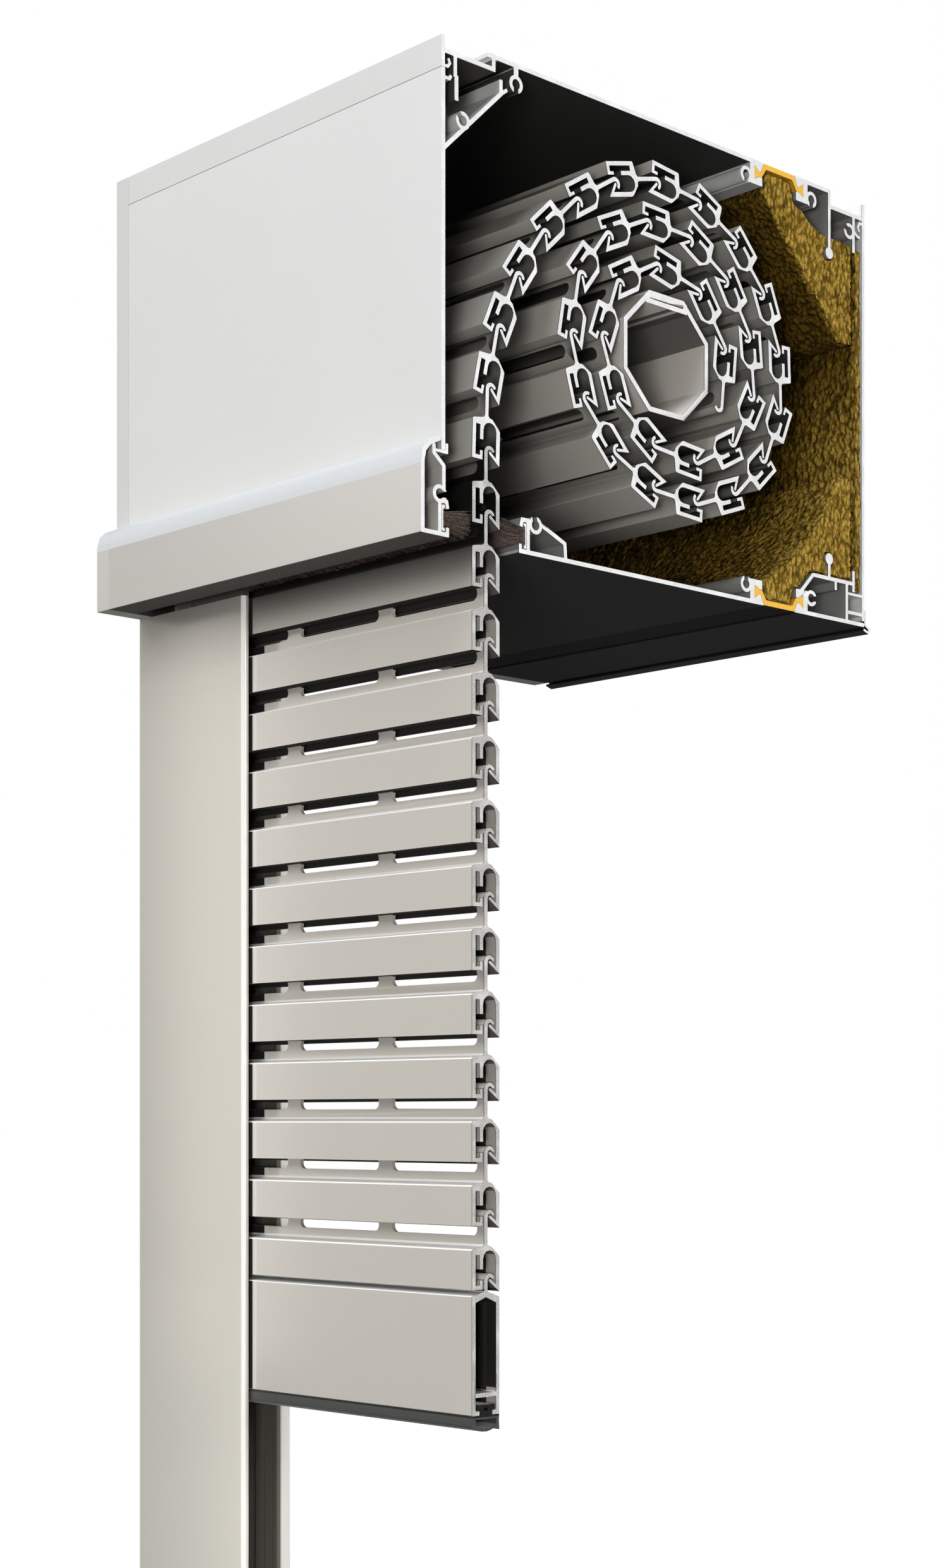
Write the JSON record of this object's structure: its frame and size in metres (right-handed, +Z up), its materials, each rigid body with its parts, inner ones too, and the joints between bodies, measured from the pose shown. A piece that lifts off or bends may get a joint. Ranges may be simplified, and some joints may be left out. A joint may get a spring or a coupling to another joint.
{
  "type": "exterior roller shutter",
  "caption": "Cutaway sample of an exterior roller shutter: insulated head box, octagonal shaft with the wound vented slats, guide rail and hanging curtain with bottom bar.",
  "frame": {"origin": "on the axis of the octagonal shaft, in the plane of the cut (drive) end", "axes": "+X out of the cut end along the shaft, +Y into the building, +Z up"},
  "size_m": [0.2652, 0.3172, 0.7585],
  "materials": {
    "box_grey": "light grey satin powder coat",
    "cover_white": "pale satin powder coat",
    "powder_coat": "warm grey satin powder coat, bare bright cut ends",
    "black_coat": "black powder coat",
    "break_yellow": "yellow glass-filled plastic",
    "mineral_wool": "ochre mineral wool",
    "brush_pile": "brown speckled brush pile",
    "zinc_steel": "galvanised",
    "bearing_steel": "ground and polished",
    "cage_brass": "pressed brass",
    "dark_plastic": "moulded, dull",
    "dark_rubber": "extruded rubber"
  },
  "bodies": {
    "frame": {"front_panel": "box_grey", "top_panel": "box_grey", "nose_profile": "powder_coat", "bottom_panel": "box_grey", "rear_panel": "cover_white", "rear_top_profile": "box_grey", "rear_bottom_profile": "box_grey", "drip_strip": "black_coat", "thermal_break_top": "break_yellow", "thermal_break_bottom": "break_yellow", "insulation_upper": "mineral_wool", "insulation_lower": "mineral_wool", "insulation_rear": "mineral_wool", "brush_front": "brush_pile", "brush_rear": "brush_pile", "end_cap": "box_grey", "end_cap_screws": "zinc_steel", "bearing_bracket": "zinc_steel", "bracket_screws": "zinc_steel", "bearing_outer_ring": "bearing_steel", "rail_body": "powder_coat", "rail_cover": "powder_coat", "rail_slide": "dark_plastic", "rail_inlet": "dark_plastic", "rail_connector": "zinc_steel", "connector_screws": "zinc_steel", "rail_foot_cap": "powder_coat"},
    "cage": {"bearing_balls": "bearing_steel", "ball_cage": "cage_brass"},
    "roll": {"bearing_inner_ring": "bearing_steel", "axle_pin": "zinc_steel", "shaft_capsule": "dark_plastic", "capsule_screws": "zinc_steel", "shaft_tube": "zinc_steel", "slat_hangers": "zinc_steel", "hanger_rivets": "zinc_steel", "roll_slats_inner": "powder_coat", "roll_slats_middle": "powder_coat", "roll_slats_outer": "powder_coat"},
    "landing": {"landing_slat": "powder_coat"},
    "release": {"release_slat": "powder_coat"},
    "arch": {"arch_slats": "powder_coat"},
    "entry": {"entry_slat": "powder_coat"},
    "outlet": {"outlet_slat": "powder_coat"},
    "curtain_1": {"slat_1": "powder_coat"},
    "curtain_2": {"slat_2": "powder_coat"},
    "curtain_3": {"slat_3": "powder_coat"},
    "curtain_4": {"slat_4": "powder_coat"},
    "curtain_5": {"slat_5": "powder_coat"},
    "curtain_6": {"slat_6": "powder_coat"},
    "curtain_7": {"slat_7": "powder_coat"},
    "curtain_8": {"slat_8": "powder_coat"},
    "curtain_9": {"slat_9": "powder_coat"},
    "curtain_10": {"slat_10": "powder_coat"},
    "curtain_11": {"slat_11": "powder_coat"},
    "curtain_12": {"slat_12": "powder_coat", "bottom_bar": "powder_coat", "bottom_seal": "dark_rubber", "bar_end_plug": "dark_plastic"}
  },
  "joints": [
    {"name": "roll_turn", "type": "hinge", "parent": "frame", "child": "roll", "pos_m": [0, 0, 0], "axis": [-1, 0, 0], "range_deg": [0, 20.3]},
    {"name": "landing_turn", "type": "hinge", "parent": "frame", "child": "landing", "pos_m": [0, 0.0034, -0.01271], "axis": [-1, 0, 0], "range_deg": [0, 17.58]},
    {"name": "release_turn", "type": "hinge", "parent": "frame", "child": "release", "pos_m": [0, 0.03063, -0.05536], "axis": [-1, 0, 0], "range_deg": [0, 11.56]},
    {"name": "arch_turn", "type": "hinge", "parent": "frame", "child": "arch", "pos_m": [0, 0.0326, -0.05739], "axis": [-1, 0, 0], "range_deg": [0, 11.34]},
    {"name": "entry_turn", "type": "hinge", "parent": "frame", "child": "entry", "pos_m": [0, 0.04887, -0.06083], "axis": [-1, 0, 0], "range_deg": [0, 10.22]},
    {"name": "outlet_turn", "type": "hinge", "parent": "frame", "child": "outlet", "pos_m": [0, 0.86023, -0.0854], "axis": [-1, 0, 0], "range_deg": [0, 1.75]},
    {"name": "cage_turn", "type": "hinge", "parent": "frame", "child": "cage", "pos_m": [0, 0, 0], "axis": [-1, 0, 0], "range_deg": [0, 7.73]},
    {"name": "curtain_lift", "type": "slide", "parent": "frame", "child": "curtain_1", "axis": [0, 0, 1], "range_m": [0, 0.0297]},
    {"name": "close_2", "type": "slide", "parent": "curtain_1", "child": "curtain_2", "axis": [0, 0, 1], "range_m": [0, 0.0094]},
    {"name": "close_3", "type": "slide", "parent": "curtain_2", "child": "curtain_3", "axis": [0, 0, 1], "range_m": [0, 0.0095]},
    {"name": "close_4", "type": "slide", "parent": "curtain_3", "child": "curtain_4", "axis": [0, 0, 1], "range_m": [0, 0.0095]},
    {"name": "close_5", "type": "slide", "parent": "curtain_4", "child": "curtain_5", "axis": [0, 0, 1], "range_m": [0, 0.0095]},
    {"name": "close_6", "type": "slide", "parent": "curtain_5", "child": "curtain_6", "axis": [0, 0, 1], "range_m": [0, 0.0095]},
    {"name": "close_7", "type": "slide", "parent": "curtain_6", "child": "curtain_7", "axis": [0, 0, 1], "range_m": [0, 0.0095]},
    {"name": "close_8", "type": "slide", "parent": "curtain_7", "child": "curtain_8", "axis": [0, 0, 1], "range_m": [0, 0.0095]},
    {"name": "close_9", "type": "slide", "parent": "curtain_8", "child": "curtain_9", "axis": [0, 0, 1], "range_m": [0, 0.0095]},
    {"name": "close_10", "type": "slide", "parent": "curtain_9", "child": "curtain_10", "axis": [0, 0, 1], "range_m": [0, 0.0095]},
    {"name": "close_11", "type": "slide", "parent": "curtain_10", "child": "curtain_11", "axis": [0, 0, 1], "range_m": [0, 0.0095]},
    {"name": "close_12", "type": "slide", "parent": "curtain_11", "child": "curtain_12", "axis": [0, 0, 1], "range_m": [0, 0.0095]}
  ],
  "couplings": [
    {"joint": "landing_turn", "follows": "roll_turn", "ratio": 0.86505},
    {"joint": "release_turn", "follows": "roll_turn", "ratio": 0.56868},
    {"joint": "arch_turn", "follows": "roll_turn", "ratio": 0.55798},
    {"joint": "entry_turn", "follows": "roll_turn", "ratio": 0.50235},
    {"joint": "outlet_turn", "follows": "roll_turn", "ratio": 0.085467},
    {"joint": "cage_turn", "follows": "roll_turn", "ratio": 0.38},
    {"joint": "curtain_lift", "follows": "roll_turn", "m_per_rad": 0.083561},
    {"joint": "close_3", "follows": "close_2", "ratio": 1},
    {"joint": "close_4", "follows": "close_2", "ratio": 1},
    {"joint": "close_5", "follows": "close_2", "ratio": 1},
    {"joint": "close_6", "follows": "close_2", "ratio": 1},
    {"joint": "close_7", "follows": "close_2", "ratio": 1},
    {"joint": "close_8", "follows": "close_2", "ratio": 1},
    {"joint": "close_9", "follows": "close_2", "ratio": 1},
    {"joint": "close_10", "follows": "close_2", "ratio": 1},
    {"joint": "close_11", "follows": "close_2", "ratio": 1},
    {"joint": "close_12", "follows": "close_2", "ratio": 1}
  ]
}
